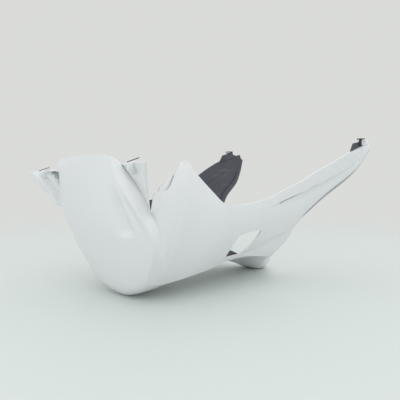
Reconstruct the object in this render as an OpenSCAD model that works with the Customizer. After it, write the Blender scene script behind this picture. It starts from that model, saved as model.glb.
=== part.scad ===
// Scooter belly panel: one moulded shell with a nose shield behind the front
// wheel, ears beside the shield, high sides with a window in each, two swept
// arms and a rounded tongue under the open rear.
// Frame: +X forward to the nose, +Y to the left side of the vehicle, +Z up,
// floor at Z = 0, origin midway along and across.

/* [Body] */
// Overall length, from the ears to the arm tips
body_length = 648; // [560:1:760]
// Distance across the two arm tips, over the outer skin
tip_spread = 410; // [350:1:450]
// Height of the painted arm tips above the floor
tip_height = 298; // [260:1:340]
// Thickness of the moulded wall
wall = 3; // [2.4:0.1:3.6]

/* [Side windows] */
// Distance of the front lower corner behind the nose
window_from = 249; // [240:1:260]
// Length of the window along the side
window_length = 70; // [50:1:74]
// Height of the window's lower edge above the floor
window_low = 62; // [60:1:66]
// Height of the window
window_rise = 48; // [36:1:52]

/* [Screw lugs] */
// Diameter of the screw hole in each tip lug
lug_bore = 6.4; // [5:0.1:7]
// Outer diameter of each tip lug
lug_outer = 14; // [12:0.5:16]
// Length of each tip lug along the panel
lug_length = 8; // [6:0.5:10]
// Distance of the tip lugs behind the nose
lug_from = 594; // [588:1:600]
// Height of the lug holes above the floor
lug_rise = 295; // [293:1:298]
// Distance of the lug holes from the middle
lug_out = 213; // [211:1:216]

/* [Hidden] */

// Length, half width and height at which the lines below are drawn
drawn = [648, 205, 298];
// The lines are drawn from a datum this far ahead of the panel's middle
datum = 326;
stretch = [body_length / drawn[0], tip_spread / 2 / drawn[1], tip_height / drawn[2]];

// Each line follows one edge of the left half through the stations, from the
// top of the shield to the rear, as [behind the nose, from the middle, height]
keel_line = [
    [5, 0, 243], [9, 0, 210], [15, 0, 178], [22, 0, 150], [31, 0, 122],
    [42, 0, 94], [54, 0, 64], [66, 0, 36], [79, 0, 13], [96, 0, 1],
    [122, 0, 0], [165, 0, 7], [215, 0, 17], [270, 0, 28], [320, 0, 31],
    [370, 0, 27], [412, 0, 15], [445, 0, 3], [466, 0, 0], [483, 0, 0],
    [498, 0, 4]];
rim_line = [
    [17, 92, 238], [22, 97, 211], [29, 110, 188], [38, 125, 163], [51, 138, 135],
    [64, 138, 106], [71, 124, 79], [78, 104, 53], [86, 95, 38], [104, 93, 32],
    [135, 95, 33], [170, 98, 37], [215, 98, 43], [270, 98, 53], [320, 98, 55],
    [372, 97, 50], [414, 90, 44]];
tongue_line = [[414, 90, 44], [437, 66, 39], [458, 53, 29], [478, 35, 16], [497, 7, 6]];
tail_line = [
    [414, 90, 44], [452, 105, 78], [460, 109, 98], [474, 118, 118], [500, 138, 148],
    [530, 153, 174], [586, 170, 209], [620, 185, 240], [650, 198, 281]];
groove_line = [
    [34, 99, 226], [43, 112, 206], [50, 131, 181], [58, 140, 156], [68, 143, 132],
    [78, 138, 107], [87, 130, 82], [96, 117, 60], [107, 107, 47], [124, 101, 41],
    [148, 101, 41], [180, 103, 44], [222, 102, 50], [273, 102, 58], [322, 102, 61],
    [374, 102, 58], [420, 99, 56], [452, 112, 92], [463, 121, 112], [476, 131, 132],
    [499, 150, 160], [529, 163, 184], [583, 179, 217], [615, 191, 245], [646, 201, 284]];
edge_line = [
    [2, 204, 223], [15, 187, 200], [28, 173, 181], [42, 161, 158], [56, 152, 183],
    [78, 154, 189], [91, 156, 212], [101, 158, 230], [115, 158, 231], [134, 158, 212],
    [169, 157, 185], [194, 157, 167], [215, 157, 162], [252, 157, 163], [305, 159, 171],
    [365, 166, 191], [412, 175, 210], [447, 184, 228], [480, 193, 243], [510, 199, 256],
    [541, 203, 269], [573, 205, 279], [600, 205, 288], [622, 205, 294], [642, 204, 298]];
// How far the side bows out midway between the groove and the top edge
swell_line = [
    0, 0, 0, 1, 3, 5, 8, 13, 18, 16, 12, 9, 9, 10, 11,
    9, 8, 7, 7, 6, 6, 5, 4, 3, 1];
// Fullness of the hull's section, and the share of it that is flat to stand on
fullness_line = [
    4, 3.6, 3.2, 2.8, 2.4, 2, 2.2, 2.4, 2.4, 2, 1.7,
    1.4, 1.15, 1.1, 1.1, 1.2, 1.6, 2, 2, 2, 2];
flat_line = [
    0, 0, 0, 0, 0, 0, 0, 0.05, 0.15, 0.24, 0.24,
    0.08, 0, 0, 0, 0, 0.05, 0.25, 0.4, 0.4, 0.2];

// Two folds in the side: the share of the side's height at which each lies,
// and how far the skin drops just under it
low_fold = [
    0.2, 0.2, 0.2, 0.2, 0.2, 0.2, 0.2, 0.2, 0.2, 0.2, 0.2, 0.18, 0.16,
    0.12, 0.08, 0.25, 0.3, 0.24, 0.2, 0.2, 0.2, 0.2, 0.2, 0.2, 0.2];
low_drop = [
    0, 0, 0, 0, 0, 0, 0, 0, 0, 0, 0, 0, 0, 0, 1, 3, 3, 1.5, 0, 0, 0, 0, 0, 0, 0];
high_fold = [
    0.7, 0.7, 0.7, 0.7, 0.7, 0.7, 0.7, 0.7, 0.7, 0.7, 0.7, 0.72, 0.75,
    0.78, 0.82, 0.84, 0.825, 0.765, 0.71, 0.66, 0.59, 0.55, 0.54, 0.54, 0.54];
high_drop = [
    0, 0, 0, 0, 0, 0, 0, 0, 0, 0, 0, 0, 0, 0, 0, 2, 5, 5, 5, 5, 4.5, 3, 1, 0, 0];
// Two pockets pressed into the left of the shield: the share of the half width
// at which the inner one lies, and how deep each of them is
pocket_line = [
    0.9, 0.9, 0.86, 0.79, 0.74, 0.72, 0.74, 0.74, 0.74, 0.74, 0.74,
    0.74, 0.74, 0.74, 0.74, 0.74, 0.74, 0.74, 0.74, 0.74, 0.74];
inner_drop = [0, 0.5, 3, 5.5, 5, 0, 0, 0, 0, 0, 0, 0, 0, 0, 0, 0, 0, 0, 0, 0, 0];
outer_drop = [0, 0, 0, 2.5, 2, 0, 0, 0, 0, 0, 0, 0, 0, 0, 0, 0, 0, 0, 0, 0, 0];

keel_rows = len(keel_line) - 1;
tail_row = len(rim_line) - 1;
arm_rows = len(edge_line) - 1;
// Rows of the skin in each station, closer over the shield and the arms
function rows_in(k, few) = k < 10 || k > 13 ? few + 1 : few;
function stops(from, to, few) =
    concat([for (k = [from:to - 1]) let (n = rows_in(k, few)) each [for (t = [0:n - 1]) k + t / n]],
        [to]);
// Columns of the skin across the hull and up the side, as shares of the way
flank_cuts = [0, 0.35, 0.7];
fold_width = 0.055;
hull_columns = len(hull_cuts(0)) - 1;
side_columns = len(flank_cuts) + len(side_cuts(0)) - 1;

// Smooth curve through the points of a line
function between(a, b, c, d, t) =
    0.5 * (2 * b + (c - a) * t + (2 * a - 5 * b + 4 * c - d) * t * t
    + (3 * b - a - 3 * c + d) * t * t * t);
function along(line, s) =
    let (last = len(line) - 1, i = min(floor(s), last - 1))
    between(line[max(i - 1, 0)], line[i], line[i + 1], line[min(i + 2, last)], s - i);

// Lower hull, from the middle out to the rim
function hull_side(s) =
    s <= tail_row ? along(rim_line, s) : along(tongue_line, s - tail_row);
function hull_point(s, share) =
    let (a = along(keel_line, s), b = hull_side(s), flat = max(along(flat_line, s), 0),
        rise = max(share - flat, 0) / (1 - flat))
    [a[0] + (b[0] - a[0]) * share * share,
     b[1] * share,
     max(a[2] + (b[2] - a[2]) * pow(rise, along(fullness_line, s)), 0)];
function hull_cuts(s) =
    let (a = along(pocket_line, s))
    [0, 0.3 * a, 0.58 * a, a - 0.18, a - 0.09, a, a + (1 - a) * 0.35, a + (1 - a) * 0.7, 1];
function hull_drops(s) =
    let (inner = max(along(inner_drop, s), 0), outer = max(along(outer_drop, s), 0))
    [0, 0, 0, 0.1 * inner, 0.6 * inner, inner, 0.4 * inner, outer, 0];
function hull_row(s) = [for (share = hull_cuts(s)) hull_point(s, share)];

// Side: the flank from the rim to the groove behind it, then up to the edge
crown = [-1.5, 3.7, 2.7];
function side_foot(s) =
    s <= tail_row ? along(rim_line, s) : along(tail_line, s - tail_row);
function flank_point(s, share) =
    let (a = side_foot(s), b = along(groove_line, s))
    a + (b - a) * share + crown * 4 * share * (1 - share) * max(1 - s / 6, 0);
function side_cuts(s) =
    let (low = along(low_fold, s), high = along(high_fold, s), span = high - fold_width - low)
    [0, low - fold_width, low, low + 0.35 * span, low + 0.6 * span, low + 0.82 * span,
     high - fold_width, high, (high + 1) / 2, 1];
function side_drops(s) =
    let (low = max(along(low_drop, s), 0), high = max(along(high_drop, s), 0))
    [0, low, 0, 0.05 * high, 0.3 * high, 0.7 * high, high, 0, 0, 0];
function side_point(s, k) =
    let (a = along(groove_line, s), b = along(edge_line, s), share = side_cuts(s)[k],
        out = along(swell_line, s) * 4 * share * (1 - share) - side_drops(s)[k])
    a + (b - a) * share + [0, out, 0];
function side_row(s) = concat([for (share = flank_cuts) flank_point(s, share)],
    [for (k = [0:len(side_cuts(s)) - 1]) side_point(s, k)]);

// A row of the left half goes over to the right half, and into the frame
function right_of(row) = [for (k = [len(row) - 1:-1:0]) [row[k][0], -row[k][1], row[k][2]]];
function tail_of(row) = [for (k = [1:len(row) - 1]) row[k]];
function part_of(row, from, to) = [for (k = [from:to]) row[k]];
function both_halves(row) = concat(right_of(row), tail_of(row));
function framed(row) =
    [for (p = row) [(datum - p[0]) * stretch[0], p[1] * stretch[1], p[2] * stretch[2]]];

// Skin of a net turned outward, and the pockets pressed into its left half
function unit(v) = v / norm(v);
function outward(net, i, j) =
    let (rows = len(net) - 1, columns = len(net[0]) - 1)
    unit(cross(net[min(i + 1, rows)][j] - net[max(i - 1, 0)][j],
        net[i][min(j + 1, columns)] - net[i][max(j - 1, 0)]));
function drop_at(s, k) = k < 0 || k > hull_columns ? 0 : hull_drops(s)[k];
function pressed(net, rows, middle) =
    [for (i = [0:len(net) - 1]) [for (j = [0:len(net[0]) - 1])
        net[i][j] - outward(net, i, j) * drop_at(rows[i], j - middle)]];

// Outer skin: the body, then the tongue and the arms that start at its rear
body_width = 2 * (hull_columns + side_columns) + 1;
body_rows = stops(0, tail_row, 2);
body_net = pressed([for (s = body_rows)
    framed(both_halves(concat(hull_row(s), tail_of(side_row(s)))))],
    body_rows, hull_columns + side_columns);
body_end = body_net[len(body_net) - 1];
tongue_net = concat([part_of(body_end, side_columns, body_width - 1 - side_columns)],
    [for (s = tail_of(stops(tail_row, keel_rows, 1))) framed(both_halves(hull_row(s)))]);
arm_net = concat([part_of(body_end, body_width - 1 - side_columns, body_width - 1)],
    [for (s = tail_of(stops(tail_row, arm_rows, 2))) framed(side_row(s))]);

// Inner skin, one wall thickness behind the outer one
function lining(net) =
    [for (i = [0:len(net) - 1]) [for (j = [0:len(net[0]) - 1])
        net[i][j] - wall * outward(net, i, j)]];
function joined_lining(net, first) =
    [for (i = [0:len(net) - 1]) i == 0 ? first : lining(net)[i]];
body_lining = lining(body_net);
rear_lining = body_lining[len(body_net) - 1];
tongue_lining = joined_lining(tongue_net,
    part_of(rear_lining, side_columns, body_width - 1 - side_columns));
arm_lining = joined_lining(arm_net,
    part_of(rear_lining, body_width - 1 - side_columns, body_width - 1));
function mirrored_net(net) = [for (row = net) right_of(row)];

// Patches of wall, each [outer skin, lining, front edge open, rear edge open]
patches = [
    [body_net, body_lining, true, false],
    [tongue_net, tongue_lining, false, true],
    [arm_net, arm_lining, false, true],
    [mirrored_net(arm_net), mirrored_net(arm_lining), false, true]];
function net_points(net) = [for (row = net) each row];
shell_points = [for (patch = patches) each concat(net_points(patch[0]), net_points(patch[1]))];
function count_before(k) =
    k == 0 ? 0 : count_before(k - 1) + 2 * len(patches[k - 1][0]) * len(patches[k - 1][0][0]);
function quad(a, b, c, d) = [[a, b, c], [a, c, d]];
function skin_faces(rows, cols, from, size) =
    [for (i = [0:rows - 2]) for (j = [0:cols - 2])
        let (a = from + i * cols + j, b = a + size)
        each concat(quad(a, a + 1, a + cols + 1, a + cols),
            quad(b, b + cols, b + cols + 1, b + 1))];
function side_faces(rows, cols, from, size) =
    [for (i = [0:rows - 2])
        let (a = from + i * cols, b = a + cols - 1)
        each concat(quad(a, a + cols, a + cols + size, a + size),
            quad(b, b + size, b + cols + size, b + cols))];
function front_faces(cols, from, size) =
    [for (a = [from:from + cols - 2]) each quad(a, a + size, a + size + 1, a + 1)];
function rear_faces(cols, from, size) =
    [for (a = [from:from + cols - 2]) each quad(a, a + 1, a + size + 1, a + size)];
function patch_faces(k) =
    let (rows = len(patches[k][0]), cols = len(patches[k][0][0]),
        from = count_before(k), size = rows * cols)
    concat(skin_faces(rows, cols, from, size), side_faces(rows, cols, from, size),
        patches[k][2] ? front_faces(cols, from, size) : [],
        patches[k][3] ? rear_faces(cols, from + size - cols, size) : []);
shell_faces = [for (k = [0:len(patches) - 1]) each patch_faces(k)];

module shell() {
    polyhedron(points = shell_points, faces = shell_faces, convexity = 8);
}

// Puts a profile drawn as [behind the nose, height] upright along the panel,
// centred at a distance from the middle
module upright(out, thickness) {
    translate([datum, out + thickness / 2, 0])
        rotate([90, 0, 0]) mirror([1, 0, 0]) linear_extrude(thickness) children();
}
module both_sides() {
    children();
    mirror([0, 1, 0]) children();
}

// Leaf-shaped window, pointed at the front foot and the rear top
function bow(a, b, rise) =
    let (side = [a[1] - b[1], b[0] - a[0]])
    [for (t = [0:0.2:0.8]) a + (b - a) * t + side * rise * 4 * t * (1 - t)];
module window_profile() {
    foot = [window_from, window_low];
    front = [window_from + 0.1 * window_length, window_low + 0.86 * window_rise];
    top = [window_from + window_length, window_low + window_rise];
    rear = [window_from + 0.62 * window_length, window_low + 0.04 * window_rise];
    polygon(concat(bow(foot, front, 0.04), bow(front, top, 0.06),
        bow(top, rear, 0.12), bow(rear, foot, 0)));
}
module windows() {
    upright(0, tip_spread) window_profile();
}

// Raw web inside the edge of each arm tip, and the bar over its eyelet
web_thickness = 3;
web_out = 200.5;
bar_width = 9;
module tip_web() {
    upright(web_out, web_thickness)
        polygon([[552, 268], [549, 270], [564, 292], [594, 298], [597, 304], [606, 305],
            [608, 297], [623, 294], [628, 292], [602, 284], [573, 275]]);
    upright(web_out + bar_width / 2 - web_thickness / 2, bar_width)
        polygon([[584, 302], [606, 304], [606, 306.5], [584, 304.5]]);
}
// Eyelet beside the web, with its hole along the panel
module tip_lug() {
    translate([datum - lug_from - lug_length / 2, 0, lug_rise])
        rotate([90, 0, 90]) difference() {
            linear_extrude(lug_length) union() {
                translate([lug_out, 0]) circle(d = lug_outer);
                translate([web_out, -lug_outer / 2 + 1])
                    square([lug_out - web_out, lug_outer - 2]);
            }
            translate([lug_out, 0, -1]) cylinder(d = lug_bore, h = lug_length + 2, $fn = 48);
        }
}
// Thin tab that stands on the top edge of each ear
tab_out = 155;
module ear_tab() {
    upright(tab_out, 2.5) polygon([[8, 214], [8, 226], [27, 233], [27, 216], [20, 208]]);
}
// Light web inside the front top corner of each side
module corner_web() {
    upright(150, 2.5) polygon([[60, 178], [66, 192], [88, 209], [96, 212], [92, 190], [76, 178]]);
}

module belly_panel() {
    color("whitesmoke") difference() {
        shell();
        windows();
    }
    color("dimgray") both_sides() {
        tip_web();
        tip_lug();
        ear_tab();
        corner_web();
    }
}

belly_panel();
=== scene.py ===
"""Scooter belly panel: the painted moulding, its raw lining and its screw lugs, on a pale floor."""

import math

import bmesh
import bpy
import numpy as np
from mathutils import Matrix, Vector


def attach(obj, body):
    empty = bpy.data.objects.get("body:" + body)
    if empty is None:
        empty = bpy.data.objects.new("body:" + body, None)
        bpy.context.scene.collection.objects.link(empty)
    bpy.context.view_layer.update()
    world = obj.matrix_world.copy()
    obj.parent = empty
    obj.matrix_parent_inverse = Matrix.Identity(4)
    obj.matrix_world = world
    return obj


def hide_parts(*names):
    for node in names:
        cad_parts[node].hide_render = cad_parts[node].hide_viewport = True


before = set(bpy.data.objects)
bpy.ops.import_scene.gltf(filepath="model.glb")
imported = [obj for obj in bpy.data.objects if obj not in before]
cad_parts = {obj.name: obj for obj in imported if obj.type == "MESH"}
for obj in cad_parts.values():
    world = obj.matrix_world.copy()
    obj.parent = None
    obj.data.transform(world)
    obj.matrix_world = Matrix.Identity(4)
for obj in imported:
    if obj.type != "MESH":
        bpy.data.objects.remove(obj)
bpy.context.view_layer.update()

bl_info = {
    "name": "Scooter Belly Panel",
    "version": (1, 0, 0),
    "blender": (4, 5, 0),
    "location": "3D View > Sidebar > Belly Panel",
    "description": "Builds a scooter belly panel from its design lines",
    "category": "Add Mesh",
}

NODE = "belly_panel"

# The design lines of the left half, row by row from the nose shield's top to the
# rear, in millimetres as [behind the datum, out from the middle, height]
DATUM = 326
DRAWN_LENGTH, DRAWN_SPREAD, DRAWN_HEIGHT = 0.648, 0.410, 0.298
KEEL = [
    [5, 0, 243], [9, 0, 210], [15, 0, 178], [22, 0, 150], [31, 0, 122],
    [42, 0, 94], [54, 0, 64], [66, 0, 36], [79, 0, 13], [96, 0, 1],
    [122, 0, 0], [165, 0, 7], [215, 0, 17], [270, 0, 28], [320, 0, 31],
    [370, 0, 27], [412, 0, 15], [445, 0, 3], [466, 0, 0], [483, 0, 0],
    [498, 0, 4]]
RIM = [
    [17, 92, 238], [22, 97, 211], [29, 110, 188], [38, 125, 163], [51, 138, 135],
    [64, 138, 106], [71, 124, 79], [78, 104, 53], [86, 95, 38], [104, 93, 32],
    [135, 95, 33], [170, 98, 37], [215, 98, 43], [270, 98, 53], [320, 98, 55],
    [372, 97, 50], [414, 90, 44]]
TONGUE = [[414, 90, 44], [437, 66, 39], [458, 53, 29], [478, 35, 16], [497, 7, 6]]
TAIL = [
    [414, 90, 44], [452, 105, 78], [460, 109, 98], [474, 118, 118], [500, 138, 148],
    [530, 153, 174], [586, 170, 209], [620, 185, 240], [650, 198, 281]]
GROOVE = [
    [34, 99, 226], [43, 112, 206], [50, 131, 181], [58, 140, 156], [68, 143, 132],
    [78, 138, 107], [87, 130, 82], [96, 117, 60], [107, 107, 47], [124, 101, 41],
    [148, 101, 41], [180, 103, 44], [222, 102, 50], [273, 102, 58], [322, 102, 61],
    [374, 102, 58], [420, 99, 56], [452, 112, 92], [463, 121, 112], [476, 131, 132],
    [499, 150, 160], [529, 163, 184], [583, 179, 217], [615, 191, 245], [646, 201, 284]]
EDGE = [
    [2, 204, 223], [15, 187, 200], [28, 173, 181], [42, 161, 158], [56, 152, 183],
    [78, 154, 189], [91, 156, 212], [101, 158, 230], [115, 158, 231], [134, 158, 212],
    [169, 157, 185], [194, 157, 167], [215, 157, 162], [252, 157, 163], [305, 159, 171],
    [365, 166, 191], [412, 175, 210], [447, 184, 228], [480, 193, 243], [510, 199, 256],
    [541, 203, 269], [573, 205, 279], [600, 205, 288], [622, 205, 294], [642, 204, 298]]
# How far the side swells out between the groove and the edge
SWELL = [
    0, 0, 0, 1, 3, 5, 8, 13, 18, 16, 12, 9, 9, 10, 11,
    9, 8, 7, 7, 6, 6, 5, 4, 3, 1]
# Fullness of the hull's section, and the share of it that is flat to stand on
FULLNESS = [
    4, 3.6, 3.2, 2.8, 2.4, 2, 2.2, 2.4, 2.2, 1.5, 1.2,
    1.15, 1.1, 1.1, 1.1, 1.2, 1.6, 2, 2, 2, 2]
FLAT = [0] * 8 + [0.06, 0.1, 0.1, 0.04] + [0] * 5 + [0.2, 0.3, 0.3, 0.15]
# Two folds in the side: where each lies in the side's height, and its drop
LOW_FOLD = [
    0.2, 0.2, 0.2, 0.2, 0.2, 0.2, 0.2, 0.2, 0.2, 0.2, 0.2, 0.18, 0.16,
    0.12, 0.08, 0.25, 0.3, 0.24, 0.2, 0.2, 0.2, 0.2, 0.2, 0.2, 0.2]
LOW_DROP = [
    0, 0, 0, 0, 0, 0, 0, 0, 0, 0, 0, 0, 0, 0, 1, 3, 3, 1.5, 0, 0, 0, 0, 0, 0, 0]
HIGH_FOLD = [
    0.7, 0.7, 0.7, 0.7, 0.7, 0.7, 0.7, 0.7, 0.7, 0.7, 0.7, 0.72, 0.75,
    0.78, 0.82, 0.84, 0.825, 0.765, 0.71, 0.66, 0.59, 0.55, 0.54, 0.54, 0.54]
HIGH_DROP = [
    0, 0, 0, 0, 0, 0, 0, 0, 0, 0, 0, 0, 0, 0, 0, 2, 5, 5, 5, 5, 4.5, 3, 1, 0, 0]
# Two pockets in the left of the shield: where the inner one's edge lies in the half
# width, how deep each of them is, and the column in the middle of each
POCKET = [0.9, 0.9, 0.86, 0.79, 0.74, 0.72] + [0.74] * 15
INNER_DROP = [0, 0.5, 3, 5.5, 5] + [0] * 16
OUTER_DROP = [0, 0, 0, 2.5, 2] + [0] * 16
INNER_COLUMN, OUTER_COLUMN = 4.7, 6.7
TAIL_ROW, KEEL_END, ARM_END = len(RIM) - 1, len(KEEL) - 1, len(EDGE) - 1

# Forms of the ears, as [row, share, row, share, half width, depth]: a channel
# behind the rolled rim, the ridge beside it and the deep pocket at the root
EAR_FORMS = [
    (-0.2, 0.76, 2.6, 0.50, 0.15, 7.0),
    (-0.2, 0.56, 1.8, 0.22, 0.10, -3.0),
    (0.3, 0.36, 1.5, 0.16, 0.20, 15.0)]
# The left ear is almost smooth, and the right one's pocket is painted with shade where it is deeper
# than this
LEFT_EAR_SHARE = 0.05
SHADED_POCKET_DEPTH = 0.0035

# Each window's foot, its corners as shares of its length and height from there,
# how far each side bows out, and how far out the cut reaches
WINDOW_FOOT = (249.0, 62.0)
WINDOW_CORNERS = [(0, 0), (0.1, 0.86), (1, 1), (0.62, 0.04)]
WINDOW_BOWS = (0.04, 0.06, 0.12, 0.0)
WINDOW_STEPS = 8
CUT_REACH = 230

# Upright plates on both sides, as ([behind the datum, height], out, thickness)
TIP_WEB = ([
    (552, 268), (549, 270), (564, 292), (594, 298), (597, 304), (606, 305),
    (608, 297), (623, 294), (628, 292), (602, 284), (573, 275)], 200.5, 3)
TIP_BAR = ([(584, 302), (606, 304), (606, 306.5), (584, 304.5)], 203.5, 9)
EAR_TAB = ([(8, 214), (8, 225), (27, 232), (27, 216), (20, 208)], 155, 2.5)
EAR_TAB_EDGE = ([(8, 225), (8, 226), (27, 233), (27, 232)], 155, 2.5)
CORNER_WEB = ([(60, 178), (66, 192), (88, 209), (96, 212), (92, 190), (76, 178)], 150, 2.5)
LUG_NECK = ([(590, 289), (590, 301), (598, 301), (598, 289)], 204.5, 8)
PLATE_EDGE, TAB_EDGE = 0.0005, 0.0002

# Middle of the left tip lug, and the rounding of its ring
LUG_MIDDLE = (594.0, 213.0, 295.0)
LUG_EDGE = 0.0007

# The camera of the photo: where it stands, which way it looks in plan, how many
# degrees it looks down, and its lens
CAMERA_PLACE = (0.606, 0.6092, 0.1869)
CAMERA_LOOK = (-0.6806, -0.7327)
CAMERA_DOWN = 1.36
CAMERA_LENS, CAMERA_SENSOR = 35.28, 36.0

# Lamps as (name, place, size, watts), all turned to one point of the panel
LAMPS = [
    ("window_light", (1.2, 1.2, 1.9), 2.2, 9),
    ("low_light", (2.0, 0.2, 0.5), 1.2, 3.5),
    ("side_light", (-0.4, 2.2, 0.9), 1.8, 5)]
LAMP_TARGET = (0, 0, 0.1)
SKY_COLOUR, SKY_STRENGTH = (0.985, 0.985, 1.0, 1), 0.93
FLOOR_RADIUS = 12
FLOOR_FADE = (0.6, 2.2)


class PanelSizes(bpy.types.PropertyGroup):
    body_length: bpy.props.FloatProperty(
        name="Length", description="Overall length, ear tips to arm tips",
        default=DRAWN_LENGTH, unit="LENGTH")
    tip_spread: bpy.props.FloatProperty(
        name="Tip spread", description="Distance across the two arm tips",
        default=DRAWN_SPREAD, unit="LENGTH")
    tip_height: bpy.props.FloatProperty(
        name="Tip height", description="Height of the painted arm tips above the floor",
        default=DRAWN_HEIGHT, unit="LENGTH")
    wall: bpy.props.FloatProperty(
        name="Wall", description="Thickness of the moulded wall",
        default=0.003, unit="LENGTH")
    window_length: bpy.props.FloatProperty(
        name="Window length", description="Length of each side window",
        default=0.070, unit="LENGTH")
    window_rise: bpy.props.FloatProperty(
        name="Window height", description="Height of each side window",
        default=0.048, unit="LENGTH")
    lug_bore: bpy.props.FloatProperty(
        name="Lug hole", description="Diameter of the screw hole in each tip lug",
        default=0.0064, unit="LENGTH")
    lug_outer: bpy.props.FloatProperty(
        name="Lug diameter", description="Outer diameter of each tip lug",
        default=0.014, unit="LENGTH")
    lug_length: bpy.props.FloatProperty(
        name="Lug length", description="Length of each tip lug along the panel",
        default=0.008, unit="LENGTH")


class PanelColours(bpy.types.PropertyGroup):
    paint: bpy.props.FloatVectorProperty(
        name="Paint", description="Cool gloss white outside",
        subtype="COLOR", size=3, default=(0.745, 0.755, 0.765))
    # Darker paint that stands for shade: painted shade in the upper fold, under the arms and in the
    # right ear's pocket
    shade_colour: bpy.props.FloatVectorProperty(
        name="Painted shade paint", description="Paint darkened as painted shade in the folds and hollows",
        subtype="COLOR", size=3, default=(0.42, 0.44, 0.46))
    raw: bpy.props.FloatVectorProperty(
        name="Raw plastic", description="Unpainted plastic inside",
        subtype="COLOR", size=3, default=(0.058, 0.060, 0.078))
    floor: bpy.props.FloatVectorProperty(
        name="Floor", description="Pale floor",
        subtype="COLOR", size=3, default=(0.66, 0.72, 0.69))
    backdrop: bpy.props.FloatVectorProperty(
        name="Backdrop", description="Colour behind the floor",
        subtype="COLOR", size=3, default=(0.70, 0.71, 0.69))


def add_node(tree, kind, settings, inputs):
    """A new node: first its settings, then the values and links of its sockets."""
    node = tree.nodes.new(kind)
    for name, value in (settings or {}).items():
        setattr(node, name, value)
    for name, value in (inputs or {}).items():
        if isinstance(value, bpy.types.NodeSocket):
            tree.links.new(value, node.inputs[name])
        else:
            node.inputs[name].default_value = value
    return node


class Value:
    """A socket that takes part in shader arithmetic, one Math node to each operator."""

    def __init__(self, shader, socket):
        self.shader, self.socket = shader, socket

    def combine(self, operation, first, second):
        return self.shader.add("ShaderNodeMath", {"operation": operation}, {0: first, 1: second})

    def __add__(self, other):
        return self.combine("ADD", self, other)

    def __sub__(self, other):
        return self.combine("SUBTRACT", self, other)

    def __rsub__(self, other):
        return self.combine("SUBTRACT", other, self)

    def __mul__(self, other):
        return self.combine("MULTIPLY", self, other)

    __radd__ = __add__
    __rmul__ = __mul__

    def step(self, low, high):
        """Rises smoothly from 0 at low to 1 at high."""
        return self.shader.add(
            "ShaderNodeMapRange", {"interpolation_type": "SMOOTHSTEP"},
            {"Value": self, "From Min": low, "From Max": high})


class Shader:
    """The node tree of one material or world, built up in expressions."""

    def __init__(self, owner):
        owner.use_nodes = True
        self.tree = owner.node_tree
        self.tree.nodes.clear()

    def add(self, kind, settings=None, inputs=None, output=0):
        sockets = {name: getattr(value, "socket", value) for name, value in (inputs or {}).items()}
        node = add_node(self.tree, kind, settings, sockets)
        return Value(self, node.outputs[output]) if node.outputs else None

    def noise(self, scale, detail, stretch=(1, 1, 1)):
        place = self.add("ShaderNodeTexCoord", output="Object")
        place = self.add("ShaderNodeMapping", None, {"Vector": place, "Scale": stretch})
        return self.add(
            "ShaderNodeTexNoise", None,
            {"Vector": place, "Scale": scale, "Detail": detail, "Roughness": 0.55})

    def mix(self, share, first, second):
        """Two colours mixed; the Mix node's colour sockets are known by number."""
        return self.add(
            "ShaderNodeMix", {"data_type": "RGBA"}, {0: share, 6: first, 7: second}, output=2)

    def bump(self, height, strength, distance):
        return self.add(
            "ShaderNodeBump", None, {"Height": height, "Strength": strength, "Distance": distance})

    def seen_by_camera(self):
        return self.add("ShaderNodeLightPath", output="Is Camera Ray")

    def surface(self, **inputs):
        inputs = {name.replace("_", " "): value for name, value in inputs.items()}
        finish = self.add("ShaderNodeBsdfPrincipled", None, inputs)
        self.add("ShaderNodeOutputMaterial", None, {"Surface": finish})


def rgba(colour, share=1.0):
    return (colour[0] * share, colour[1] * share, colour[2] * share, 1.0)


def gloss_paint():
    """Cool white paint, faintly cloudy, hazy and wavy."""
    colour = bpy.context.scene.panel_colours.paint
    shader = Shader(bpy.data.materials.new("gloss_white_paint"))
    cloud = shader.noise(7.0, 2.0).step(0.35, 0.65)
    haze = shader.noise(24.0, 4.0)
    waves = shader.noise(45.0, 2.0)
    shader.surface(
        Base_Color=shader.mix(cloud, rgba(colour, 0.985), rgba(colour, 1.01)),
        Roughness=0.28 + haze * 0.10, Normal=shader.bump(waves, 0.05, 0.0006),
        Coat_Weight=0.3, Coat_Roughness=0.15)


def painted_shade_paint():
    """The same paint, grey and dull, as painted shade where a fold, the underside of an arm or the
    right ear's pocket falls in shade.
    """
    colour = bpy.context.scene.panel_colours.shade_colour
    shader = Shader(bpy.data.materials.new("painted_shade_paint"))
    cloud = shader.noise(60.0, 3.0).step(0.35, 0.65)
    shader.surface(
        Base_Color=shader.mix(cloud, rgba(colour, 0.92), rgba(colour, 1.08)), Roughness=0.55)


def raw_plastic():
    """Unpainted dark moulding: satin, with a fine grain, and pale streaks painted into its colour as
    sheen, where it is also a little glossier.
    """
    colour = bpy.context.scene.panel_colours.raw
    shader = Shader(bpy.data.materials.new("raw_dark_plastic"))
    # Vertical pale streaks: painted sheen in the colour, with real lower roughness
    sheen_streaks = shader.noise(18.0, 5.0, (1.0, 1.0, 4.0)).step(0.50, 0.78)
    grain = shader.noise(1100.0, 2.0)
    shader.surface(
        Base_Color=shader.mix(sheen_streaks * 0.55, rgba(colour, 0.85), rgba(colour, 1.7)),
        Roughness=0.46 + grain * 0.10 - sheen_streaks * 0.06, Normal=shader.bump(grain, 0.25, 0.0003))


def painted():
    return bpy.data.materials["gloss_white_paint"]


def unpainted():
    return bpy.data.materials["raw_dark_plastic"]


def hump(distance):
    """One at 0, falling softly to nothing at 1 either way."""
    return np.where(np.abs(distance) < 1, (1 - distance ** 2) ** 2, 0)


def ramp(x, low, high):
    """Rises softly from 0 at low to 1 at high."""
    t = np.clip((x - low) / (high - low), 0, 1)
    return t * t * (3 - 2 * t)


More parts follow.
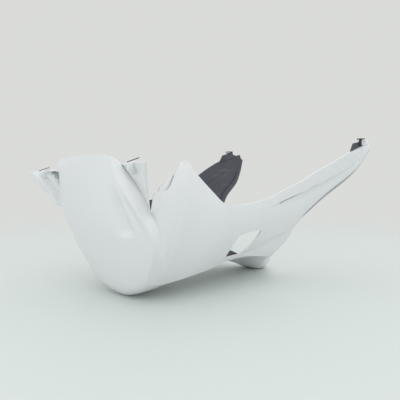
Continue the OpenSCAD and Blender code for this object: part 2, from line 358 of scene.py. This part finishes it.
def spline(line, rows):
    """Smooth curve through a line's points, read at row numbers with fractions."""
    line, rows = np.asarray(line, float), np.asarray(rows, float)
    if line.ndim == 1:
        line = line[:, None]
    last = len(line) - 1
    start = np.minimum(np.floor(rows).astype(int), last - 1)
    t = (rows - start)[:, None]
    a, b, c, d = (line[np.clip(start + k, 0, last)] for k in (-1, 0, 1, 2))
    return 0.5 * (2 * b + (c - a) * t + (2 * a - 5 * b + 4 * c - d) * t ** 2
                  + (3 * b - a - 3 * c + d) * t ** 3)


def split_line(rows, branch):
    """The rim as far as the tail, then one of the two lines that part there."""
    before = spline(RIM, np.minimum(rows, TAIL_ROW))
    after = spline(branch, np.maximum(rows - TAIL_ROW, 0))
    return np.where((rows <= TAIL_ROW)[:, None], before, after)


def hull_cuts(rows):
    """Shares of the half width at which the nine main columns lie, row by row."""
    pocket = spline(POCKET, rows)[:, 0]
    return np.stack([
        0 * pocket, 0.3 * pocket, 0.58 * pocket, pocket - 0.18, pocket - 0.09, pocket,
        pocket + (1 - pocket) * 0.35, pocket + (1 - pocket) * 0.7, np.ones_like(pocket)], 1)


def hull_drops(rows, places):
    """Depth of the shield's pockets at each place between the main columns."""
    inner, outer = (np.maximum(spline(line, rows)[:, 0], 0) for line in (INNER_DROP, OUTER_DROP))
    inner = inner * ramp(4.5 - rows, 0, 0.35) * ramp(rows, 1.2, 2.8)
    off_inner = places[None, :] - INNER_COLUMN
    off_outer = places[None, :] - OUTER_COLUMN
    return (1.3 * inner[:, None] * hump(np.where(off_inner < 0, -off_inner / 2.4, off_inner / 1.5))
            + 1.5 * outer[:, None] * hump(off_outer / 0.9))


def hull_rows(rows, places):
    """Lower hull from the middle to the rim."""
    keel, rim = spline(KEEL, rows)[:, None, :], split_line(rows, TONGUE)[:, None, :]
    share = np.stack([np.interp(places, np.arange(9), cuts) for cuts in hull_cuts(rows)])
    flat = np.maximum(spline(FLAT, rows), 0)
    rise = np.maximum(share - flat, 0) / (1 - flat)
    back = keel[..., 0] + (rim[..., 0] - keel[..., 0]) * share ** 2
    height = keel[..., 2] + (rim[..., 2] - keel[..., 2]) * rise ** spline(FULLNESS, rows)
    return np.stack([back, rim[..., 1] * share, np.maximum(height, 0)], -1)


def side_shares(rows, places):
    """Shares of the side's height: places 1 to 2 and 3 to 4 span the two folds."""
    low, high = spline(LOW_FOLD, rows)[:, 0], spline(HIGH_FOLD, rows)[:, 0]
    knots = np.stack([0 * low, low - 0.03, low, high - 0.024, high, 0 * low + 1], 1)
    return np.stack([np.interp(places, np.arange(6), knot) for knot in knots])


def side_rows(rows, flank_shares, places):
    """Flank behind the rim, then the side from the groove up to the edge."""
    lines = (split_line(rows, TAIL), spline(GROOVE, rows), spline(EDGE, rows))
    foot, groove, edge = (line[:, None, :] for line in lines)
    swell = spline(SWELL, rows)[:, None, 0]
    u, v = flank_shares[None, :, None], side_shares(rows, places)
    crown = np.clip(1 - rows / 6, 0, 1)[:, None, None] * 4 * u * (1 - u)
    hollow = (ramp(rows, 17, 19.5) * ramp(24 - rows, 0, 2))[:, None, None] * 4 * u * (1 - u)
    flank = foot + (groove - foot) * u
    flank = flank + crown * np.array([-1.5, 3.7, 2.7]) + hollow * np.array([0, -4.5, 3])
    side = groove + (edge - groove) * v[..., None]
    side[..., 1] += swell * 4 * v * (1 - v) - side_drops(rows, places, v)
    return np.concatenate([flank, side], 1)


def side_drops(rows, places, shares):
    """How far the skin drops under each fold, coming back further down."""
    low, high = (np.maximum(spline(line, rows), 0) for line in (LOW_DROP, HIGH_DROP))
    place = places[None, :]
    below = np.maximum(spline(HIGH_FOLD, rows) - shares, 0)
    under_high = ramp(4 - place, 0, 1) * np.exp(-(below / 0.2) ** 1.4)
    under_low = ramp(2 - place, 0, 1) * ramp(place, 0, 0.8)
    return 1.9 * high * under_high + 1.4 * low * under_low


def ear_drops(rows, shares):
    """Depth of the ears' forms at rows and shares of the side's height."""
    depth = np.zeros(shares.shape)
    for row, share, end_row, end_share, half, deep in EAR_FORMS:
        t = np.clip((rows - row) / (end_row - row), -0.25, 1.25)[:, None]
        middle = share + (end_share - share) * t
        ends = ramp(t, -0.2, 0.1) * ramp(1 - t, -0.2, 0.25)
        depth += deep * ends * hump((shares - middle) / half)
    return depth


def mirrored(net):
    return net[:, ::-1] * [1, -1, 1]


def both_halves(half):
    return np.concatenate([mirrored(half[:, 1:]), half], 1)


def facing(net):
    """Outward unit normals of a net of points."""
    n = np.cross(np.gradient(net, axis=0), np.gradient(net, axis=1))
    return n / np.maximum(np.linalg.norm(n, axis=-1, keepdims=True), 1e-9)


def stretched(net):
    """Points of the design lines in metres in the shared frame, at the chosen size."""
    sizes = bpy.context.scene.panel_sizes
    scale = [sizes.body_length / DRAWN_LENGTH, sizes.tip_spread / DRAWN_SPREAD,
             sizes.tip_height / DRAWN_HEIGHT]
    return (net * [-1, 1, 1] + [DATUM, 0, 0]) * scale / 1000


def finer(first, last, steps=8):
    """Row numbers from first to last with their fractions."""
    return np.arange(first * steps, last * steps + 1) / steps


class SkinPlan:
    """The skin's outer nets, right to left in each row, and where painted shade lies on them."""
    HULL = np.linspace(0, 8, 41)
    FLANK = np.linspace(0, 1, 9)[:-1]
    SIDE = np.concatenate([
        np.linspace(0, 1, 7)[:-1], np.linspace(1, 2, 5)[:-1], np.linspace(2, 2.978, 15),
        np.linspace(3, 4, 5)[:-1], np.linspace(4, 5, 10)])

    def __init__(self):
        self.body_rows = finer(0, TAIL_ROW)
        arm_rows = finer(TAIL_ROW, ARM_END)
        self.side_count = len(self.FLANK) + len(self.SIDE)
        shares = side_shares(self.body_rows, self.SIDE)
        ears = ear_drops(self.body_rows, shares) / 1000
        self.body = self.pressed(self.smooth_body(), ears)
        self.tongue = stretched(both_halves(hull_rows(finer(TAIL_ROW, KEEL_END), self.HULL)))
        self.arm = stretched(side_rows(arm_rows, self.FLANK, self.SIDE))
        self.arm_shade = self.shade_mask(arm_rows)
        # The right ear's deep pocket is painted with shade as well
        root = (shares < 0.5) & (self.body_rows < 1.9)[:, None]
        self.body_shade = self.shaded_body_faces((ears > SHADED_POCKET_DEPTH) & root)

    def smooth_body(self):
        hull = hull_rows(self.body_rows, self.HULL)
        side = side_rows(self.body_rows, self.FLANK, self.SIDE)
        return stretched(both_halves(np.concatenate([hull, side[:, 1:]], 1)))

    def pressed(self, body, ears):
        """The body with the shield's pockets and the ears' forms pressed in."""
        middle = body.shape[1] // 2
        left = slice(middle, middle + len(self.HULL))
        drops = hull_drops(self.body_rows, self.HULL)[..., None] / 1000
        body[:, left] -= facing(body)[:, left] * drops
        out, width = facing(body), len(self.SIDE)
        body[:, -width:] -= out[:, -width:] * ears[..., None] * LEFT_EAR_SHARE
        body[:, :width] -= out[:, :width] * ears[:, ::-1, None]
        return body

    def shade_mask(self, rows):
        """Where the paint is darkened as painted shade: in the step of the upper fold and under the
        arms.
        """
        places = np.concatenate([self.FLANK - 1, self.SIDE])[None, :]
        # Painted shade in the step of the upper fold
        fold = (places > 2.97) & (places < 4.01) & (spline(HIGH_DROP, rows) > 1.2)
        # Painted shade on the down-facing band under each arm
        under = (places < 0.6) & (rows > 17.6)[:, None]
        return fold | under

    def shaded_body_faces(self, pocket):
        width = len(self.SIDE)
        side = self.shade_mask(self.body_rows)[:, -width:]
        shade_mask = np.zeros(self.body.shape[:2], bool)
        shade_mask[:, -width:] = side
        shade_mask[:, :width] = side[:, ::-1] | pocket[:, ::-1]
        return shade_mask

    def thinned(self):
        """Wall of the body as a share, thinner in the tight corner under each ear."""
        corner = hump((self.body_rows - 3.4) / 2.2)[:, None]
        share = 1 - 0.8 * corner * ramp(self.SIDE, 1.5, 3.2)[None, :]
        wall = np.ones(self.body.shape[:2])
        wall[:, -len(self.SIDE):] = share
        wall[:, :len(self.SIDE)] = share[:, ::-1]
        return wall[..., None]


def lining(net, wall):
    """The inner skin, a wall's thickness behind the outer one."""
    return net - facing(net) * wall


def skin_patches(plan, wall):
    """Each patch as (outer net, lining, open at its front, open at its rear, painted shade)."""
    body_in = lining(plan.body, wall * plan.thinned())
    tongue_in, arm_in = lining(plan.tongue, wall), lining(plan.arm, wall)
    seam, seam_in, side = plan.body[-1], body_in[-1], plan.side_count
    hull = slice(side - 1, len(seam) - side + 1)
    plan.tongue[0], tongue_in[0] = seam[hull], seam_in[hull]
    plan.arm[0], arm_in[0] = seam[-side:], seam_in[-side:]
    far, far_in = mirrored(plan.arm), mirrored(arm_in)
    far[0], far_in[0] = seam[:side], seam_in[:side]
    clear = np.zeros(plan.tongue.shape[:2], bool)
    return [
        (plan.body, body_in, True, False, plan.body_shade),
        (plan.tongue, tongue_in, False, True, clear),
        (plan.arm, arm_in, False, True, plan.arm_shade),
        (far, far_in, False, True, plan.arm_shade[:, ::-1])]


def quads(a, b, c, d):
    return np.stack([a.ravel(), b.ravel(), c.ravel(), d.ravel()], 1)


def patch_faces(rows, columns, front, rear):
    """Quads of one patch of wall: outside, lining and open rims."""
    outer = np.arange(rows * columns).reshape(rows, columns)
    inner = outer + rows * columns
    outside = quads(outer[:-1, :-1], outer[:-1, 1:], outer[1:, 1:], outer[1:, :-1])
    inside = quads(inner[:-1, :-1], inner[1:, :-1], inner[1:, 1:], inner[:-1, 1:])
    rims = [quads(outer[:-1, 0], outer[1:, 0], inner[1:, 0], inner[:-1, 0]),
            quads(outer[:-1, -1], inner[:-1, -1], inner[1:, -1], outer[1:, -1])]
    if front:
        rims.append(quads(outer[0, :-1], inner[0, :-1], inner[0, 1:], outer[0, 1:]))
    if rear:
        rims.append(quads(outer[-1, :-1], outer[-1, 1:], inner[-1, 1:], inner[-1, :-1]))
    return outside, inside, np.concatenate(rims)


def new_object(name, verts, faces, materials, slots=None):
    mesh = bpy.data.meshes.new(name)
    mesh.from_pydata([tuple(v) for v in verts], [], [tuple(int(i) for i in face) for face in faces])
    obj = bpy.data.objects.new(name, mesh)
    bpy.context.collection.objects.link(obj)
    for material in materials:
        mesh.materials.append(material)
    if slots is not None:
        mesh.polygons.foreach_set("material_index", slots)
    mesh.update()
    return obj


def clean(obj, angle=32):
    """Merges doubled points, turns faces outward and keeps edges over the angle sharp."""
    mesh = bmesh.new()
    mesh.from_mesh(obj.data)
    bmesh.ops.remove_doubles(mesh, verts=mesh.verts, dist=1e-6)
    bmesh.ops.dissolve_degenerate(mesh, edges=mesh.edges, dist=1e-7)
    bmesh.ops.recalc_face_normals(mesh, faces=mesh.faces)
    mesh.to_mesh(obj.data)
    mesh.free()
    for face in obj.data.polygons:
        face.use_smooth = True
    obj.data.set_sharp_from_angle(angle=math.radians(angle))


def baked(obj):
    """Turns an object's modifiers into its mesh."""
    depsgraph = bpy.context.evaluated_depsgraph_get()
    mesh = bpy.data.meshes.new_from_object(obj.evaluated_get(depsgraph))
    obj.modifiers.clear()
    obj.data = mesh
    return obj


def finish_piece(obj):
    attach(obj, "root")


def prism(outline, near, far):
    """Points and faces of a prism from an outline of [behind, height], across the panel."""
    n = len(outline)
    rings = [[(behind, out, height) for behind, height in outline] for out in (near, far)]
    faces = [list(range(n)), list(range(2 * n - 1, n - 1, -1))]
    faces += [[k, k + n, (k + 1) % n + n, (k + 1) % n] for k in range(n)]
    return stretched(np.array(rings[0] + rings[1], float)), faces


def window_cutter():
    """Leaf-shaped prism right through both sides."""
    sizes = bpy.context.scene.panel_sizes
    spread = np.array([sizes.window_length * 1000, sizes.window_rise * 1000])
    corners = [np.array(WINDOW_FOOT) + np.array(corner) * spread for corner in WINDOW_CORNERS]
    outline = []
    for a, b, bow in zip(corners, corners[1:] + corners[:1], WINDOW_BOWS):
        outward = np.array([-(b - a)[1], (b - a)[0]])
        for t in np.arange(WINDOW_STEPS) / WINDOW_STEPS:
            outline.append(a + (b - a) * t + outward * bow * 4 * t * (1 - t))
    cutter = new_object("window_cutter", *prism(outline, -CUT_REACH, CUT_REACH), [painted()])
    clean(cutter)
    return cutter


class PANEL_OT_skin(bpy.types.Operator):
    """Moulded skin: painted outside, raw lining, a window in each side"""
    bl_idname = "panel.skin"
    bl_label = "Moulded skin"

    def execute(self, context):
        verts, faces, slots, start = [], [], [], 0
        patches = skin_patches(SkinPlan(), context.scene.panel_sizes.wall)
        for outer, inner, front, rear, shade_mask in patches:
            rows, columns = outer.shape[:2]
            outside, inside, rims = patch_faces(rows, columns, front, rear)
            # Quads with all four corners marked get the paint darkened as painted shade (slot 2)
            grey = shade_mask[:-1, :-1] & shade_mask[:-1, 1:] & shade_mask[1:, 1:] & shade_mask[1:, :-1]
            faces.extend(np.concatenate([outside, inside, rims]) + start)
            slots.extend([*(2 * grey.ravel()), *([1] * len(inside)), *([0] * len(rims))])
            verts.extend(outer.reshape(-1, 3))
            verts.extend(inner.reshape(-1, 3))
            start += 2 * rows * columns
        materials = [painted(), unpainted(), bpy.data.materials["painted_shade_paint"]]
        obj = new_object("painted_moulding", verts, faces, materials, slots)
        clean(obj)
        cutter = window_cutter()
        cut = obj.modifiers.new("windows", "BOOLEAN")
        cut.operation, cut.solver, cut.object = "DIFFERENCE", "EXACT", cutter
        baked(obj)
        bpy.data.objects.remove(cutter)
        clean(obj)
        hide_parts(NODE)
        finish_piece(obj)
        return {"FINISHED"}


def plate_pair(name, plates, material, soft=PLATE_EDGE):
    """The same upright plates on both sides, with softened edges."""
    verts, faces = [], []
    for outline, out, thickness in plates:
        for side in (1, -1):
            middle, half = out * side, thickness / 2
            points, sides = prism(outline, middle - half, middle + half)
            faces += [[i + len(verts) for i in face] for face in sides]
            verts += list(points)
    obj = new_object(name, verts, faces, [material])
    clean(obj)
    bevel = obj.modifiers.new("soft_edges", "BEVEL")
    bevel.width, bevel.segments = soft, 2
    baked(obj)
    clean(obj, 45)
    finish_piece(obj)


class PANEL_OT_webs(bpy.types.Operator):
    """Raw webs and bars on the arm tips, tabs on the ears, light corner webs"""
    bl_idname = "panel.webs"
    bl_label = "Webs and tabs"

    def execute(self, context):
        plate_pair("tip_webs", [TIP_WEB, TIP_BAR], unpainted())
        plate_pair("ear_tabs", [EAR_TAB], painted())
        plate_pair("ear_tab_edges", [EAR_TAB_EDGE], unpainted(), TAB_EDGE)
        plate_pair("corner_webs", [CORNER_WEB], painted())
        return {"FINISHED"}


class Nodes:
    """A geometry node tree that is built in expressions and baked to a mesh."""

    def __init__(self, name, **defaults):
        self.tree = bpy.data.node_groups.new(name, "GeometryNodeTree")
        interface = self.tree.interface
        interface.new_socket("Geometry", in_out="OUTPUT", socket_type="NodeSocketGeometry")
        for title, value in defaults.items():
            kind = "NodeSocketVector" if isinstance(value, tuple) else "NodeSocketFloat"
            interface.new_socket(title, in_out="INPUT", socket_type=kind)
        self.values = defaults
        self.inputs = self.tree.nodes.new("NodeGroupInput").outputs

    def add(self, kind, inputs, **settings):
        return add_node(self.tree, kind, settings, inputs).outputs[0]

    def math(self, operation, first, second):
        return self.add("ShaderNodeMath", {0: first, 1: second}, operation=operation)

    def bake(self, obj, shape):
        out = self.tree.nodes.new("NodeGroupOutput")
        self.tree.links.new(shape, out.inputs[0])
        modifier = obj.modifiers.new(self.tree.name, "NODES")
        modifier.node_group = self.tree
        for item in self.tree.interface.items_tree:
            if item.in_out == "INPUT":
                modifier[item.identifier] = self.values[item.name]
        return baked(obj)


class PANEL_OT_lugs(bpy.types.Operator):
    """Ring lug with its screw hole at each arm tip"""
    bl_idname = "panel.lugs"
    bl_label = "Tip lugs"

    def execute(self, context):
        sizes = context.scene.panel_sizes
        place = tuple(stretched(np.array([LUG_MIDDLE]))[0])
        nodes = Nodes("tip_lugs", Place=place, Bore=sizes.lug_bore, Outer=sizes.lug_outer,
                      Length=sizes.lug_length)
        lug = nodes.inputs
        across = nodes.add(
            "ShaderNodeVectorMath", {0: lug["Place"], 1: (0, -2, 0)}, operation="MULTIPLY")
        places = nodes.add(
            "GeometryNodeMeshLine", {"Count": 2, "Start Location": lug["Place"], "Offset": across},
            mode="OFFSET")
        middle = nodes.math("DIVIDE", nodes.math("ADD", lug["Bore"], lug["Outer"]), 4.0)
        wall = nodes.math("DIVIDE", nodes.math("SUBTRACT", lug["Outer"], lug["Bore"]), 2.0)
        path = nodes.add("GeometryNodeCurvePrimitiveCircle", {"Resolution": 64, "Radius": middle})
        profile = nodes.add(
            "GeometryNodeCurvePrimitiveQuadrilateral", {"Width": wall, "Height": lug["Length"]})
        profile = nodes.add(
            "GeometryNodeFilletCurve", {"Curve": profile, "Radius": LUG_EDGE, "Count": 3}, mode="POLY")
        ring = nodes.add("GeometryNodeCurveToMesh", {"Curve": path, "Profile Curve": profile})
        ring = nodes.add(
            "GeometryNodeTransform", {"Geometry": ring, "Rotation": (0, math.pi / 2, 0)})
        both = nodes.add("GeometryNodeInstanceOnPoints", {"Points": places, "Instance": ring})
        real = nodes.add("GeometryNodeRealizeInstances", {"Geometry": both})
        done = nodes.add("GeometryNodeSetMaterial", {"Geometry": real, "Material": painted()})
        obj = nodes.bake(new_object("tip_lugs", [], [], []), done)
        clean(obj)
        finish_piece(obj)
        plate_pair("lug_necks", [LUG_NECK], unpainted())
        return {"FINISHED"}


def pale_floor(colours):
    """Round floor that fades to the backdrop's colour far off, for the camera only."""
    bpy.ops.mesh.primitive_circle_add(
        vertices=96, radius=FLOOR_RADIUS, fill_type="NGON", location=(0, 0, 0))
    floor = bpy.context.object
    floor.name = "floor"
    material = bpy.data.materials.new("pale_floor")
    shader = Shader(material)
    place = shader.add("ShaderNodeTexCoord", output="Object")
    reach = shader.add("ShaderNodeVectorMath", {"operation": "LENGTH"}, {0: place}, output="Value")
    near = shader.add(
        "ShaderNodeBsdfPrincipled", None, {"Base Color": rgba(colours.floor), "Roughness": 0.55})
    far = shader.add(
        "ShaderNodeEmission", None, {"Color": rgba(colours.backdrop), "Strength": 1.0})
    share = shader.seen_by_camera() * reach.step(*FLOOR_FADE)
    both = shader.add("ShaderNodeMixShader", None, {0: share, 1: near, 2: far})
    shader.add("ShaderNodeOutputMaterial", None, {"Surface": both})
    floor.data.materials.append(material)
    return floor


def studio_world(colours):
    """Even pale light, with the backdrop's colour where the camera sees it."""
    world = bpy.data.worlds.new("studio")
    shader = Shader(world)
    light = shader.add(
        "ShaderNodeBackground", None, {"Color": SKY_COLOUR, "Strength": SKY_STRENGTH})
    back = shader.add(
        "ShaderNodeBackground", None, {"Color": rgba(colours.backdrop), "Strength": 1.0})
    both = shader.add("ShaderNodeMixShader", None, {0: shader.seen_by_camera(), 1: light, 2: back})
    shader.add("ShaderNodeOutputWorld", None, {"Surface": both})
    return world


def add_lamps(scene):
    for name, place, size, watts in LAMPS:
        data = bpy.data.lights.new(name, "AREA")
        data.size, data.energy = size, watts
        lamp = bpy.data.objects.new(name, data)
        scene.collection.objects.link(lamp)
        lamp.location = place
        aim = Vector(LAMP_TARGET) - Vector(place)
        lamp.rotation_euler = aim.to_track_quat("-Z", "Y").to_euler()


def add_camera(scene):
    data = bpy.data.cameras.new("camera")
    data.lens, data.sensor_width = CAMERA_LENS, CAMERA_SENSOR
    camera = bpy.data.objects.new("camera", data)
    scene.collection.objects.link(camera)
    camera.location = CAMERA_PLACE
    down = math.radians(CAMERA_DOWN)
    level = [part * math.cos(down) for part in CAMERA_LOOK]
    look = Vector((*level, -math.sin(down)))
    camera.rotation_euler = look.to_track_quat("-Z", "Y").to_euler()
    scene.camera = camera


class PANEL_OT_stage(bpy.types.Operator):
    """Pale floor, soft light and the camera"""
    bl_idname = "panel.stage"
    bl_label = "Stage"

    def execute(self, context):
        scene = context.scene
        floor = pale_floor(scene.panel_colours)
        scene.world = studio_world(scene.panel_colours)
        add_lamps(scene)
        add_camera(scene)
        scene.view_settings.view_transform = "Standard"
        return {"FINISHED"}


OPERATORS = (PANEL_OT_skin, PANEL_OT_webs, PANEL_OT_lugs, PANEL_OT_stage)


class PANEL_PT_sidebar(bpy.types.Panel):
    bl_label = "Belly Panel"
    bl_idname = "PANEL_PT_sidebar"
    bl_space_type = "VIEW_3D"
    bl_region_type = "UI"
    bl_category = "Belly Panel"

    def draw(self, context):
        for group in (context.scene.panel_sizes, context.scene.panel_colours):
            for name in group.__annotations__:
                self.layout.prop(group, name)
        for operator in OPERATORS:
            self.layout.operator(operator.bl_idname)


CLASSES = (PanelSizes, PanelColours, *OPERATORS, PANEL_PT_sidebar)


def register():
    for cls in CLASSES:
        bpy.utils.register_class(cls)
    bpy.types.Scene.panel_sizes = bpy.props.PointerProperty(type=PanelSizes)
    bpy.types.Scene.panel_colours = bpy.props.PointerProperty(type=PanelColours)


def unregister():
    del bpy.types.Scene.panel_colours
    del bpy.types.Scene.panel_sizes
    for cls in reversed(CLASSES):
        bpy.utils.unregister_class(cls)


def main():
    register()
    gloss_paint()
    raw_plastic()
    painted_shade_paint()
    bpy.ops.panel.skin()
    bpy.ops.panel.webs()
    bpy.ops.panel.lugs()
    bpy.ops.panel.stage()


if __name__ == "__main__":
    main()
